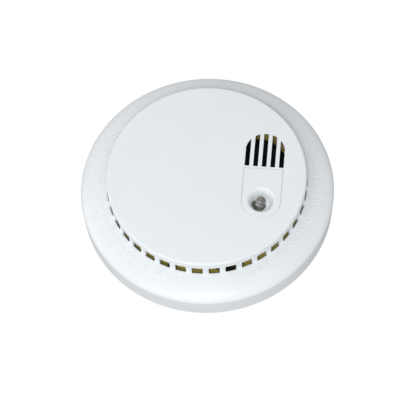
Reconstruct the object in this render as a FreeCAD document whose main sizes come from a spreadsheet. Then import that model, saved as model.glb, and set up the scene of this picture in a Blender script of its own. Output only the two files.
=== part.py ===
import FreeCAD, Part
import math
import os

import Sketcher

# A round, wall-mounted smoke alarm in millimetres. Every piece is drawn in the alarm's own plan: X to the
# right, Y up the face and Z out of the wall towards the room, with Z = 0 on the wall. UPRIGHT then stands
# the plan on the wall, so that the face looks along -Y and +Z is up.

SIZES = {
    # shell
    "rim_r": (63.5, "outer radius of the skirt"),
    "rim_back": (1.0, "height of the skirt's back edge over the wall"),
    "rim_front": (12.75, "height of the skirt's front edge"),
    "shoulder_w": (2.2, "width of the bevel at the skirt's front edge"),
    "shoulder_rise": (1.5, "rise over that bevel"),
    "ledge_w": (0.9, "width of the level ledge between the sloping ring and the disc wall"),
    "ledge_z": (18.5, "height of the sloping ring at the disc wall"),
    "disc_r": (49.5, "outer radius of the raised disc"),
    "face_z": (27.4, "height of the flat face"),
    "face_edge": (1.1, "chamfer round the face"),
    "wall": (2.0, "wall of the front cover"),
    "window_count": (38, "windows round the disc wall"),
    "window_w": (5.3, "width of a window"),
    "window_z": (18.7, "lower edge of a window"),
    "window_rise": (4.8, "height of a window"),
    # grille in the face
    "grille_x": (28.0, "middle slot of the grille"),
    "grille_low": (5.8, "lower end of the slots"),
    "grille_top": (24.5, "upper end of the middle slot"),
    "slot_w": (2.3, "width of a grille slot"),
    "slot_pitch": (4.25, "pitch of the grille slots"),
    "arch_edge": (0.1, "how far the arch over the slots stands outside the end slots"),
    # test button
    "button_x": (27.9, "middle of the test button"),
    "button_y": (-12.6, "centre of its round end"),
    "button_r": (9.35, "radius of its round end and half its width"),
    "button_top": (4.3, "its straight top edge"),
    "button_gap": (0.45, "gap round the button"),
    "button_t": (2.0, "thickness of the button plate"),
    "hole_r": (5.6, "radius of the button's well round the status lamp"),
    "well_wall": (1.0, "wall of that well"),
    "well_deep": (7.6, "how far the well reaches under the button plate"),
    "well_floor": (0.7, "thickness of the well's floor"),
    "foot_hole_r": (3.4, "hole in that floor for the lamp's foot"),
    "dish_w": (1.1, "width and depth of the bevel round the well's mouth"),
    "hinge_y": (2.9, "button hinge axis, up the face"),
    "hinge_drop": (3.4, "button hinge axis under the face"),
    "pin_r": (0.9, "hinge pin radius of the button"),
    "pin_fit": (0.05, "radial running clearance of the hinge pins"),
    "lug_t": (1.5, "thickness of the lugs that hold the button pins"),
    "post_x": (35.3, "button post that presses the test contact"),
    "post_y": (-14.0, "the same post, up the face"),
    "post_r": (1.1, "radius of the post"),
    # rear housing
    "plate_z": (3.0, "back face of the rear housing"),
    "plate_t": (2.2, "thickness of its plate"),
    "step_gap": (0.4, "gap between the housing's raised centre and the bracket ring"),
    "step_rise": (2.6, "how far the housing steps up round that centre, over the bracket"),
    "nest_gap": (0.3, "gap between the housing's edge and the skirt"),
    "bead_rise": (3.5, "locating bead round the housing's edge"),
    "bead_t": (1.6, "thickness of that bead"),
    # bayonet between bracket and housing
    "bracket_t": (2.5, "thickness of the bracket ring"),
    "bracket_edge": (1.3, "gap between the bracket ring and the skirt"),
    "bracket_open_r": (45.6, "radius of its central opening"),
    "hook_r": (55.0, "outer radius of a bracket hook"),
    "hook_stem": (2.0, "radial thickness of the hook's stem"),
    "hook_reach": (4.5, "radial length of the hook's head"),
    "hook_head": (1.2, "thickness of the hook's head"),
    "hook_span": (11.0, "angle that a hook takes up"),
    "hook_count": (3, "hooks round the bracket"),
    "hook_gap": (0.3, "clearance of the hooks in the housing"),
    "unlock_turn": (18.0, "turn from locked to free"),
    "screw_slot_r": (52.9, "radius at which the wall screw slots sit"),
    "screw_slot_w": (4.5, "width of a wall screw slot"),
    "screw_slot_len": (10.0, "overall length of a wall screw slot"),
    # battery bay and door
    "bay_left": (-30.2, "inner left side of the battery bay"),
    "bay_low": (-20.6, "inner lower side"),
    "bay_play": (0.4, "play of the battery in its bay, on each side"),
    "bay_wall": (1.4, "wall of the bay"),
    "door_t": (2.0, "thickness of the battery door"),
    "door_gap": (0.35, "gap round the door"),
    "barrel_r": (1.2, "radius of the door's hinge barrel"),
    "door_pin_r": (0.6, "radius of the door's steel hinge pin"),
    "pad_t": (0.4, "foam pad inside the door"),
    "battery_w": (26.5, "battery width"),
    "battery_len": (46.0, "battery body length"),
    "battery_t": (17.5, "battery thickness"),
    "terminal_gap": (12.7, "distance between the battery's snap terminals"),
    "terminal_len": (2.4, "height of the snap terminals"),
    "socket_r": (3.9, "radius of the negative terminal"),
    "stud_r": (2.85, "radius of the positive terminal"),
    "snap_t": (4.4, "thickness of the snap connector"),
    # circuit board and what stands on it
    "lip_t": (1.0, "thickness of the battery door's finger lip"),
    "lip_half": (6.0, "half the width of that lip"),
    "lip_reach": (3.0, "how far the lip reaches past the door"),
    "board_reach": (0.5, "how far the circuit board reaches past the disc's radius, under the ring"),
    "board_z": (8.4, "height of the board's back face"),
    "board_t": (1.6, "thickness of the board"),
    "board_gap": (0.5, "gap between board and battery bay"),
    "screw_r": (1.3, "shank radius of the small screws"),
    "screw_head_r": (2.4, "head radius of the small screws"),
    "boss_r": (3.2, "radius of the screw bosses"),
    "horn_x": (25.0, "middle of the horn"),
    "horn_y": (11.4, "middle of the horn, up the face"),
    "horn_r": (15.2, "outer radius of the horn housing's base"),
    "horn_step": (5.5, "height of that base over the board"),
    "horn_cap_r": (12.7, "outer radius of the horn's upper part"),
    "horn_rise": (12.0, "height of the horn housing over the board"),
    "horn_wall": (1.5, "wall of the horn housing"),
    "throat_r": (4.2, "sound opening of the horn"),
    "piezo_r": (13.5, "radius of the sounder disc"),
    "piezo_lift": (3.3, "height of the sounder disc over the board"),
    "chamber_x": (12.2, "middle of the smoke chamber"),
    "chamber_y": (-33.2, "middle of the smoke chamber, up the face"),
    "chamber_r": (11.0, "outer radius of the smoke chamber"),
    "chamber_floor": (1.6, "thickness of the chamber's base and cap"),
    "chamber_rise": (11.4, "height of the chamber over the board"),
    "vane_count": (16, "light-trap vanes round the chamber"),
    "vane_len": (3.9, "length of a vane"),
    "vane_t": (0.8, "thickness of a vane"),
    "vane_turn": (38.0, "how far a vane is turned out of the radius"),
    "screen_t": (0.3, "thickness of the insect screen"),
    "lamp_x": (26.6, "foot of the status lamp"),
    "lamp_y": (-13.0, "foot of the status lamp, up the face"),
    "lamp_drop": (8.0, "its flange under the face"),
    "lamp_r": (2.5, "radius of the status lamp"),
    "lamp_len": (5.8, "length of its straight body"),
    "lamp_flange_r": (2.9, "radius of its flange"),
    "lamp_lean": (14.0, "how far the lamp leans"),
    "lamp_lean_way": (31.0, "direction in which it leans"),
    "lead_w": (0.5, "thickness of component leads"),
    "leaf_w": (3.0, "width of the test contact's leaf"),
    "leaf_t": (0.3, "thickness of the leaf"),
    "leaf_lift": (3.6, "height of the leaf over the board"),
    "leaf_back": (-4.0, "pivot of the leaf, up the face"),
    "leaf_tip": (-16.6, "free end of the leaf"),
    "leaf_gap": (0.3, "gap between the button's post and the leaf"),
    "wire_r": (0.65, "radius of the battery leads"),
}

TURN = 360.0
UPRIGHT = FreeCAD.Placement(FreeCAD.Vector(0, 0, 0), FreeCAD.Rotation(FreeCAD.Vector(1, 0, 0), 90))
ALONG_X, ALONG_Y = (0, 1, 0), (-1, 0, 0)

doc = FreeCAD.newDocument("SmokeAlarm")
sheet = doc.addObject("Spreadsheet::Sheet", "Sizes")
pieces = []


class Size:
    """A length or an angle: its number, and the expression that works it out from the sheet."""

    def __init__(self, number, text=None):
        self.number = float(number)
        self.text = text or repr(self.number)

    def joined(self, sign, other, number):
        return Size(number, f"({self.text} {sign} {other.text})")

    def __add__(self, other):
        other = as_size(other)
        return self.joined("+", other, self.number + other.number)

    def __sub__(self, other):
        other = as_size(other)
        return self.joined("-", other, self.number - other.number)

    def __mul__(self, other):
        other = as_size(other)
        return self.joined("*", other, self.number * other.number)

    def __truediv__(self, other):
        other = as_size(other)
        return self.joined("/", other, self.number / other.number)

    def __radd__(self, other):
        return as_size(other) + self

    def __rsub__(self, other):
        return as_size(other) - self

    def __rmul__(self, other):
        return as_size(other) * self

    def __neg__(self):
        return as_size(-1) * self


def as_size(value):
    return value if isinstance(value, Size) else Size(value)


def cosine(angle):
    angle = as_size(angle)
    return Size(math.cos(math.radians(angle.number)), f"cos({angle.text} * 1 deg)")


def sine(angle):
    angle = as_size(angle)
    return Size(math.sin(math.radians(angle.number)), f"sin({angle.text} * 1 deg)")


def root(size):
    return Size(math.sqrt(size.number), f"sqrt({size.text})")


class Named:
    """The sizes by name, each tied to its cell in the sheet."""

    def __init__(self, sizes):
        for row, (name, (number, note)) in enumerate(sizes.items(), start=1):
            sheet.set(f"A{row}", note)
            sheet.set(f"B{row}", str(number))
            sheet.setAlias(f"B{row}", name)
            setattr(self, name, Size(number, f"Sizes.{name}"))
        doc.recompute()


def bind(thing, **values):
    """Ties properties to the sheet. A double underscore in a name stands for a dot."""
    for name, value in values.items():
        thing.setExpression(name.replace("__", "."), as_size(value).text)


# ---- sketches and PartDesign features -------------------------------------------------------------------


def new_body(label, across=0, up=0, front=0):
    return stand(label, doc.addObject("PartDesign::Body", label), across, up, front)


def origin_part(body, role):
    return next(part for part in body.Origin.OriginFeatures if part.Role == role)


def new_sketch(body, plane, offset=0):
    """A sketch on one of the body's planes, moved along the plane's normal by offset."""
    sketch = body.newObject("Sketcher::SketchObject", f"{body.Label}_sketch")
    sketch.AttachmentSupport = [(origin_part(body, plane), "")]
    sketch.MapMode = "FlatFace"
    bind(sketch, AttachmentOffset__Base__z=offset)
    return sketch


def hold(sketch, kind, *where, value):
    index = sketch.addConstraint(Sketcher.Constraint(kind, *where, as_size(value).number))
    sketch.setExpression(f"Constraints[{index}]", as_size(value).text)


def hold_point(sketch, edge, end, across, up):
    hold(sketch, "DistanceX", -1, 1, edge, end, value=across)
    hold(sketch, "DistanceY", -1, 1, edge, end, value=up)


def draw_outline(sketch, corners):
    """A closed loop of straight edges with every corner held in place."""
    first = sketch.GeometryCount
    spots = [FreeCAD.Vector(as_size(x).number, as_size(y).number, 0) for x, y in corners]
    for here, there in zip(spots, spots[1:] + spots[:1]):
        sketch.addGeometry(Part.LineSegment(here, there))
    for k, (across, up) in enumerate(corners):
        before = first + (k - 1) % len(corners)
        sketch.addConstraint(Sketcher.Constraint("Coincident", before, 2, first + k, 1))
        hold_point(sketch, first + k, 1, across, up)
    return sketch


def draw_box(sketch, left, right, low, high):
    return draw_outline(sketch, [(left, low), (right, low), (right, high), (left, high)])


def draw_circle(sketch, across, up, radius):
    centre = FreeCAD.Vector(as_size(across).number, as_size(up).number, 0)
    circle = Part.Circle(centre, FreeCAD.Vector(0, 0, 1), as_size(radius).number)
    edge = sketch.addGeometry(circle)
    hold(sketch, "Radius", edge, value=radius)
    hold_point(sketch, edge, 3, across, up)
    return sketch


def draw_tongue(sketch, middle, top, centre, half):
    """A straight top edge and two straight sides that end in a half circle below."""
    x, y, r, t = (as_size(value).number for value in (middle, centre, half, top))
    left, right = FreeCAD.Vector(x - r, t, 0), FreeCAD.Vector(x + r, t, 0)
    low_left, low_right = FreeCAD.Vector(x - r, y, 0), FreeCAD.Vector(x + r, y, 0)
    circle = Part.Circle(FreeCAD.Vector(x, y, 0), FreeCAD.Vector(0, 0, 1), r)
    first = sketch.addGeometry(Part.LineSegment(left, right))
    sketch.addGeometry(Part.LineSegment(right, low_right))
    sketch.addGeometry(Part.LineSegment(low_left, left))
    sketch.addGeometry(Part.ArcOfCircle(circle, math.pi, 2 * math.pi))
    joins = [(0, 2, 1, 1), (1, 2, 3, 2), (3, 1, 2, 1), (2, 2, 0, 1)]
    for a, a_end, b, b_end in joins:
        where = (first + a, a_end, first + b, b_end)
        sketch.addConstraint(Sketcher.Constraint("Coincident", *where))
    hold_point(sketch, first, 1, middle - half, top)
    hold_point(sketch, first, 2, middle + half, top)
    hold_point(sketch, first + 3, 3, middle, centre)
    hold(sketch, "Radius", first + 3, value=half)
    for end in (1, 2):
        hold(sketch, "DistanceY", -1, 1, first + 3, end, value=centre)
    return sketch


def feature(body, kind, sketch, **values):
    """A feature made from a sketch. The part must gain or lose volume, or the piece is refused."""
    doc.recompute()
    before = body.Shape.Volume if body.Tip else 0.0
    made = body.newObject(f"PartDesign::{kind}", f"{body.Label}_{kind.lower()}")
    made.Profile = sketch
    for name in [name for name in values if isinstance(values[name], (bool, tuple, str))]:
        setattr(made, name, values.pop(name))
    bind(made, **values)
    body.Tip = made
    doc.recompute()
    grew = body.Shape.Volume - before
    if (grew < 1e-6) if kind in ("Pad", "Revolution") else (grew > -1e-6):
        raise RuntimeError(f"{made.Name} changed nothing")
    return made


def pad(body, sketch, length, **more):
    return feature(body, "Pad", sketch, Length=length, **more)


def pocket(body, sketch, length, **more):
    return feature(body, "Pocket", sketch, Length=length, **more)


def spin(body, kind, corners, angle=None, middle=0):
    """Turns an outline of (radius, height) corners about Z: kind is Revolution or Groove.

    With an angle it makes only that much of the ring, spread evenly about the direction called middle.
    """
    sketch = new_sketch(body, "XZ_Plane")
    sketch.AttachmentOffset = FreeCAD.Placement(FreeCAD.Vector(), FreeCAD.Rotation(FreeCAD.Vector(0, 1, 0), 1))
    bind(sketch, AttachmentOffset__Rotation__Angle=middle)
    draw_outline(sketch, corners)
    partial = angle is not None
    return feature(
        body, kind, sketch, ReferenceAxis=(sketch, ["V_Axis"]), Midplane=partial, Angle=angle if partial else TURN
    )


def polar(body, original, count):
    made = body.newObject("PartDesign::PolarPattern", f"{body.Label}_round")
    made.Originals = [original]
    made.Axis = (origin_part(body, "Z_Axis"), [""])
    made.Angle = TURN
    bind(made, Occurrences=count)
    body.Tip = made
    doc.recompute()
    return made


# ---- Part primitives and booleans -----------------------------------------------------------------------


def block(left, right, low, high, back, front):
    made = doc.addObject("Part::Box", "block")
    bind(made, Length=right - left, Width=high - low, Height=front - back)
    bind(made, Placement__Base__x=left, Placement__Base__y=low, Placement__Base__z=back)
    return made


def rod(across, up, back, front, radius):
    made = doc.addObject("Part::Cylinder", "rod")
    bind(made, Radius=radius, Height=front - back)
    bind(made, Placement__Base__x=across, Placement__Base__y=up, Placement__Base__z=back)
    return made


def joined(*parts):
    made = doc.addObject("Part::MultiFuse", "joined")
    made.Shapes = list(parts)
    return made


def cut(base, *tools):
    made = doc.addObject("Part::Cut", "cut")
    made.Base = base
    made.Tool = tools[0] if len(tools) == 1 else joined(*tools)
    return made


def group(*solids):
    """Like pieces that share one node, as separate solids."""
    made = doc.addObject("Part::Compound", "group")
    made.Links = list(solids)
    return made


def placed(thing, across=0, up=0, front=0, axis=(0, 0, 1), angle=0):
    """A thing drawn about the origin, turned about an axis through it and then moved to its place."""
    made = group(thing)
    made.Placement = FreeCAD.Placement(FreeCAD.Vector(), FreeCAD.Rotation(FreeCAD.Vector(*axis), 1))
    bind(made, Placement__Rotation__Angle=angle)
    bind(made, Placement__Base__x=across, Placement__Base__y=up, Placement__Base__z=front)
    return made


def stand(label, thing, across=0, up=0, front=0):
    """Names a piece and stands it on the wall: plan X, Y and Z become X, +Z and -Y."""
    thing.Label = label
    thing.Placement = UPRIGHT
    bind(thing, Placement__Base__x=across, Placement__Base__y=-as_size(front), Placement__Base__z=up)
    pieces.append(thing)
    return thing


S = Named(SIZES)
LINING = 0.1  # play between parts that are pushed together
CUT = 1.0  # how far a cut runs past the faces that it goes through

# ---- places that several pieces share -------------------------------------------------------------------

face_inner = S.face_z - S.wall
skirt_inner = S.rim_r - S.wall
plate_front = S.plate_z + S.plate_t
outer_back = S.plate_z + S.step_rise
outer_front = outer_back + S.plate_t
board_front = S.board_z + S.board_t
housing_r = skirt_inner - S.nest_gap
bracket_r = skirt_inner - S.bracket_edge
step_r = S.bracket_open_r - S.step_gap
board_r = S.disc_r + S.board_reach
bead_inner = housing_r - S.bead_t
boss_ring = bead_inner - S.boss_r - S.nest_gap
hinge_z = S.face_z - S.hinge_drop
boss_top = S.rim_front + 1
cover_screw_seat = outer_back + 1.35
leaf_z = board_front + S.leaf_lift
bay_right = S.bay_left + S.battery_w + S.bay_play * 2
battery_x = (S.bay_left + bay_right) / 2
battery_low = S.bay_low + S.bay_play
battery_high = battery_low + S.battery_len
bay_high = battery_high + S.terminal_len + S.snap_t + S.bay_play
battery_back = S.plate_z + S.door_t + S.pad_t + LINING
battery_z = battery_back + S.battery_t / 2
bay_top = battery_back + S.battery_t + S.bay_play
door_axis_x = bay_right - S.door_gap - S.barrel_r
door_axis_z = S.plate_z + S.barrel_r
horn_top = board_front + S.horn_rise
board_screws = [(42.2, -1.0), (-38.0, -12.0), (31.0, -24.5)]


def screw(across, up, seat, length, way):
    """A pan-head screw whose head rests on the height called seat; way is 1 if its shank points forward."""
    shank_end = seat + length * way
    low, high = (seat, shank_end) if way > 0 else (shank_end, seat)
    head = rod(across, up, seat - 1.3, seat, S.screw_head_r) if way > 0 else rod(
        across, up, seat, seat + 1.3, S.screw_head_r
    )
    return joined(head, rod(across, up, low, high, S.screw_r))


# ---- mounting bracket -----------------------------------------------------------------------------------


def make_bracket():
    body = new_body("mounting_bracket")
    inner, outer = S.bracket_open_r, bracket_r
    spin(body, "Revolution", [(inner, 0), (outer, 0), (outer, S.bracket_t), (inner, S.bracket_t)])
    stem = S.hook_r - S.hook_stem
    tip = S.hook_r - S.hook_reach
    under = outer_front + S.hook_gap
    top = under + S.hook_head
    hook = [(stem, 0), (S.hook_r, 0), (S.hook_r, top), (tip, top), (tip, under), (stem, under)]
    made = spin(body, "Revolution", hook, S.hook_span, 90)
    polar(body, made, S.hook_count)
    sketch = new_sketch(body, "XY_Plane", S.bracket_t + CUT)
    for side in (-1, 1):
        draw_slot(sketch, S.screw_slot_r * side, (S.screw_slot_len - S.screw_slot_w) / 2, S.screw_slot_w / 2)
    pocket(body, sketch, S.bracket_t + CUT * 2)
    return body


def draw_slot(sketch, middle, reach, half):
    """A level slot with round ends: reach is from its middle to the centre of an end."""
    x, h, r = (as_size(value).number for value in (middle, reach, half))
    right, left = FreeCAD.Vector(x + h, 0, 0), FreeCAD.Vector(x - h, 0, 0)
    flat = FreeCAD.Vector(0, 0, 1)
    quarter = math.pi / 2
    first = sketch.addGeometry(Part.ArcOfCircle(Part.Circle(right, flat, r), -quarter, quarter))
    sketch.addGeometry(Part.ArcOfCircle(Part.Circle(left, flat, r), quarter, 3 * quarter))
    for level in (r, -r):
        up = FreeCAD.Vector(0, level, 0)
        sketch.addGeometry(Part.LineSegment(left + up, right + up))
    for a, a_end, b, b_end in [(2, 1, 1, 1), (2, 2, 0, 2), (3, 1, 1, 2), (3, 2, 0, 1)]:
        sketch.addConstraint(Sketcher.Constraint("Coincident", first + a, a_end, first + b, b_end))
    for arc, centre in ((first, middle + reach), (first + 1, middle - reach)):
        hold_point(sketch, arc, 3, centre, 0)
        hold(sketch, "Radius", arc, value=half)
        for end in (1, 2):
            hold(sketch, "DistanceX", -1, 1, arc, end, value=centre)


# ---- front cover ----------------------------------------------------------------------------------------


def make_cover():
    body = new_body("front_cover")
    spin(
        body,
        "Revolution",
        [
            (S.rim_r, S.rim_back),
            (S.rim_r, S.rim_front),
            (S.rim_r - S.shoulder_w, S.rim_front + S.shoulder_rise),
            ((S.disc_r + S.ledge_w), S.ledge_z),
            (S.disc_r, S.ledge_z),
            (S.disc_r, S.face_z - S.face_edge),
            (S.disc_r - S.face_edge, S.face_z),
            (0, S.face_z),
            (0, face_inner),
            (S.disc_r - S.wall, face_inner),
            (S.disc_r - S.wall, S.ledge_z - S.wall),
            (skirt_inner, S.rim_front - S.wall / 2),
            (skirt_inner, S.rim_back),
        ],
    )
    add_bosses(body)
    cut_windows(body)
    cut_grille(body)
    cut_button_opening(body)
    add_button_lugs(body)
    return body


def add_bosses(body):
    """Three posts under the sloping ring that take the housing screws."""
    sketch = draw_circle(new_sketch(body, "XY_Plane", outer_front), 0, -boss_ring, S.boss_r)
    polar(body, pad(body, sketch, boss_top - outer_front), 3)
    sketch = draw_circle(new_sketch(body, "XY_Plane", boss_top - LINING * 3), 0, -boss_ring, S.screw_r)
    polar(body, pocket(body, sketch, boss_top - outer_front), 3)


def cut_windows(body):
    sketch = new_sketch(body, "XZ_Plane", S.disc_r + CUT)
    half = S.window_w / 2
    draw_box(sketch, -half, half, S.window_z, S.window_z + S.window_rise)
    polar(body, pocket(body, sketch, S.wall + CUT * 2.5), S.window_count)


def cut_grille(body):
    """Five upright slots whose tops follow an arch."""
    sketch = new_sketch(body, "XY_Plane", S.face_z + CUT)
    half = S.slot_w / 2
    arch_r = S.slot_pitch * 2 + half + S.arch_edge
    for place in (-2, -1, 0, 1, 2):
        offset = S.slot_pitch * place
        left, right = offset - half, offset + half
        tops = [S.grille_top - arch_r + root(arch_r * arch_r - side * side) for side in (left, right)]
        across = [S.grille_x + left, S.grille_x + right]
        low = S.grille_low
        draw_outline(sketch, [(across[0], low), (across[1], low), (across[1], tops[1]), (across[0], tops[0])])
    pocket(body, sketch, S.wall + CUT * 2)


def cut_button_opening(body):
    sketch = new_sketch(body, "XY_Plane", S.face_z + CUT)
    top = S.button_top + S.button_gap
    draw_tongue(sketch, S.button_x, top, S.button_y, S.button_r + S.button_gap)
    pocket(body, sketch, S.wall + CUT * 2)


def add_button_lugs(body):
    """Two lugs under the face with the bearings of the button's hinge pins."""
    half = S.pin_r + S.pin_fit + 0.45
    reach = S.button_r + S.button_gap + LINING * 2
    for start in (S.button_x - reach - S.lug_t, S.button_x + reach):
        sketch = new_sketch(body, "YZ_Plane", start)
        draw_box(sketch, S.hinge_y - half, S.hinge_y + half, hinge_z - half, face_inner + LINING)
        pad(body, sketch, S.lug_t)
        sketch = draw_circle(new_sketch(body, "YZ_Plane", start - CUT), S.hinge_y, hinge_z, S.pin_r + S.pin_fit)
        pocket(body, sketch, S.lug_t + CUT * 2, Reversed=True)


# ---- test button ----------------------------------------------------------------------------------------


def make_button():
    body = new_body("test_button")
    sketch = new_sketch(body, "XY_Plane", S.face_z - S.button_t)
    draw_tongue(sketch, S.button_x, S.button_top, S.button_y, S.button_r)
    pad(body, sketch, S.button_t)
    sketch = new_sketch(body, "YZ_Plane", S.button_x - S.button_r + LINING * 5)
    half = S.pin_r + 0.25
    draw_box(sketch, S.hinge_y - half, S.hinge_y + half, hinge_z - half, S.face_z - S.button_t + LINING)
    pad(body, sketch, S.button_r * 2 - LINING * 10)
    reach = S.button_r + S.button_gap + LINING * 2 + S.lug_t
    sketch = draw_circle(new_sketch(body, "YZ_Plane", S.button_x - reach), S.hinge_y, hinge_z, S.pin_r)
    pad(body, sketch, reach * 2)
    post_low = leaf_z + S.leaf_t + S.leaf_gap
    sketch = draw_circle(new_sketch(body, "XY_Plane", post_low), S.post_x, S.post_y, S.post_r)
    pad(body, sketch, S.face_z - S.button_t - post_low + LINING)
    add_well(body)
    return body


def add_well(body):
    """The round well in which the status lamp stands, with a hole for its foot and a bevel at the mouth."""
    plate_back = S.face_z - S.button_t
    sketch = new_sketch(body, "XY_Plane", plate_back - S.well_deep)
    draw_circle(sketch, S.button_x, S.button_y, S.hole_r + S.well_wall)
    pad(body, sketch, S.well_deep + LINING)
    sketch = draw_circle(new_sketch(body, "XY_Plane", S.face_z + CUT), S.button_x, S.button_y, S.hole_r)
    pocket(body, sketch, S.button_t + S.well_deep - S.well_floor + CUT)
    sketch = new_sketch(body, "XY_Plane", S.face_z + CUT)
    draw_circle(sketch, S.lamp_x - LINING * 4, S.lamp_y - LINING * 2, S.foot_hole_r)
    pocket(body, sketch, S.button_t + S.well_deep + CUT * 2)
    sketch = draw_circle(new_sketch(body, "XY_Plane", S.face_z), S.button_x, S.button_y, S.hole_r + S.dish_w)
    pocket(body, sketch, S.dish_w, TaperAngle=-45)


# ---- rear housing with the battery bay ------------------------------------------------------------------


def make_housing():
    body = new_body("rear_housing")
    step_inner = step_r - S.plate_t
    bead = outer_front + S.bead_rise
    spin(
        body,
        "Revolution",
        [
            (0, S.plate_z),
            (step_r, S.plate_z),
            (step_r, outer_back),
            (housing_r, outer_back),
            (housing_r, bead),
            (bead_inner, bead),
            (bead_inner, outer_front),
            (step_inner, outer_front),
            (step_inner, plate_front),
            (0, plate_front),
        ],
    )
    wall = S.bay_wall
    sketch = new_sketch(body, "XY_Plane", S.plate_z)
    draw_box(sketch, S.bay_left - wall, bay_right + wall, S.bay_low - wall, bay_high + wall)
    pad(body, sketch, bay_top + wall - S.plate_z)
    sketch = new_sketch(body, "XY_Plane", bay_top)
    draw_box(sketch, S.bay_left, bay_right, S.bay_low, bay_high)
    pocket(body, sketch, bay_top)
    add_standoffs(body)
    cut_hook_slots(body)
    cut_screw_recesses(body)
    cut_door_seats(body)
    return body


def add_standoffs(body):
    for across, up in board_screws:
        sketch = draw_circle(new_sketch(body, "XY_Plane", plate_front), across, up, S.boss_r)
        pad(body, sketch, S.board_z - plate_front)
        sketch = draw_circle(new_sketch(body, "XY_Plane", S.board_z + CUT), across, up, S.screw_r)
        pocket(body, sketch, S.board_z - plate_front + CUT)


def cut_hook_slots(body):
    """Slots for the bracket's hooks: a wide end that a hook enters and a narrow one that its stem slides in."""
    low, high = outer_back - CUT, outer_front + CUT
    outer = S.hook_r + S.hook_gap
    stem = S.hook_r - S.hook_stem - S.hook_gap
    head = S.hook_r - S.hook_reach - S.hook_gap
    room = S.hook_span + 2
    made = spin(body, "Groove", ring(head, outer, low, high), room, 90 - S.unlock_turn)
    polar(body, made, S.hook_count)
    span = room + S.unlock_turn
    made = spin(body, "Groove", ring(stem, outer, low, high), span, 90 - S.unlock_turn / 2)
    polar(body, made, S.hook_count)


def ring(inner, outer, low, high):
    return [(inner, low), (outer, low), (outer, high), (inner, high)]


def cut_screw_recesses(body):
    """Counterbored holes for the screws that hold the cover."""
    sketch = draw_circle(new_sketch(body, "XY_Plane", cover_screw_seat), 0, -boss_ring, S.screw_head_r + LINING)
    polar(body, pocket(body, sketch, cover_screw_seat), 3)
    sketch = draw_circle(new_sketch(body, "XY_Plane", outer_front + CUT), 0, -boss_ring, S.screw_r)
    polar(body, pocket(body, sketch, outer_front), 3)


def cut_door_seats(body):
    """Holes for the door's hinge pin, the seat of its finger lip and the notch for the battery leads."""
    wall = S.bay_wall
    sketch = new_sketch(body, "XZ_Plane", -(bay_high + wall + CUT))
    draw_circle(sketch, door_axis_x, door_axis_z, S.door_pin_r)
    pocket(body, sketch, bay_high - S.bay_low + wall * 2 + CUT * 2, Reversed=True)
    sketch = new_sketch(body, "XY_Plane", S.plate_z + S.lip_t + S.door_gap)
    middle = (S.bay_low + bay_high) / 2
    half = S.lip_half + S.door_gap
    draw_box(sketch, S.bay_left - S.lip_reach - S.door_gap, S.bay_left + CUT, middle - half, middle + half)
    pocket(body, sketch, S.plate_z)
    sketch = new_sketch(body, "YZ_Plane", bay_right + wall + CUT)
    draw_box(sketch, bay_high - 5, bay_high - 1, battery_z - 3, battery_z + 3)
    pocket(body, sketch, wall + CUT * 2)


# ---- battery door ---------------------------------------------------------------------------------------



def make_door():
    body = new_body("battery_door")
    gap = S.door_gap
    low, high = S.bay_low + gap, bay_high - gap
    left = S.bay_left + gap
    sketch = draw_box(new_sketch(body, "XY_Plane", S.plate_z), left, door_axis_x, low, high)
    pad(body, sketch, S.door_t)
    sketch = draw_circle(new_sketch(body, "XZ_Plane", -high), door_axis_x, door_axis_z, S.barrel_r)
    pad(body, sketch, high - low)
    middle = (S.bay_low + bay_high) / 2
    sketch = new_sketch(body, "XY_Plane", S.plate_z)
    draw_box(sketch, S.bay_left - S.lip_reach, left + CUT, middle - S.lip_half, middle + S.lip_half)
    pad(body, sketch, S.lip_t)
    bore = S.door_pin_r + S.pin_fit
    sketch = draw_circle(new_sketch(body, "XZ_Plane", -high - CUT), door_axis_x, door_axis_z, bore)
    pocket(body, sketch, high - low + CUT * 2, Reversed=True)
    return body


def make_door_fittings():
    reach = S.bay_wall * 0.7
    length = bay_high - S.bay_low + reach * 2
    pin = placed(rod(0, 0, 0, length, S.door_pin_r), door_axis_x, bay_high + reach, door_axis_z, (1, 0, 0), 90)
    stand("door_hinge_pin", group(pin))
    back = S.plate_z + S.door_t
    inset = Size(4.0)
    right = door_axis_x - S.barrel_r - CUT
    soft = block(S.bay_left + inset, right, S.bay_low + inset, bay_high - inset, back, back + S.pad_t)
    stand("door_foam_pad", group(soft))


# ---- battery, its terminals, snap connector and leads ---------------------------------------------------


def along_up(radius, across, start, length, front):
    """A rod that points up the face."""
    return placed(rod(0, 0, 0, length, radius), across, start, front, ALONG_Y, 90)


def make_battery():
    half = S.battery_w / 2
    front = battery_back + S.battery_t
    case = block(battery_x - half, battery_x + half, battery_low, battery_high, battery_back, front)
    stand("battery", group(case))
    left, right = battery_x - S.terminal_gap / 2, battery_x + S.terminal_gap / 2
    socket = along_up(S.socket_r, left, battery_high, S.terminal_len, battery_z)
    stud = along_up(S.stud_r, right, battery_high, S.terminal_len, battery_z)
    stand("battery_terminals", group(socket, stud))
    low = battery_high + S.terminal_len
    snap = block(battery_x - half + 1, battery_x + half - 1, low, low + S.snap_t, battery_z - 6, battery_z + 6)
    stand("snap_connector", group(snap))


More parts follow.
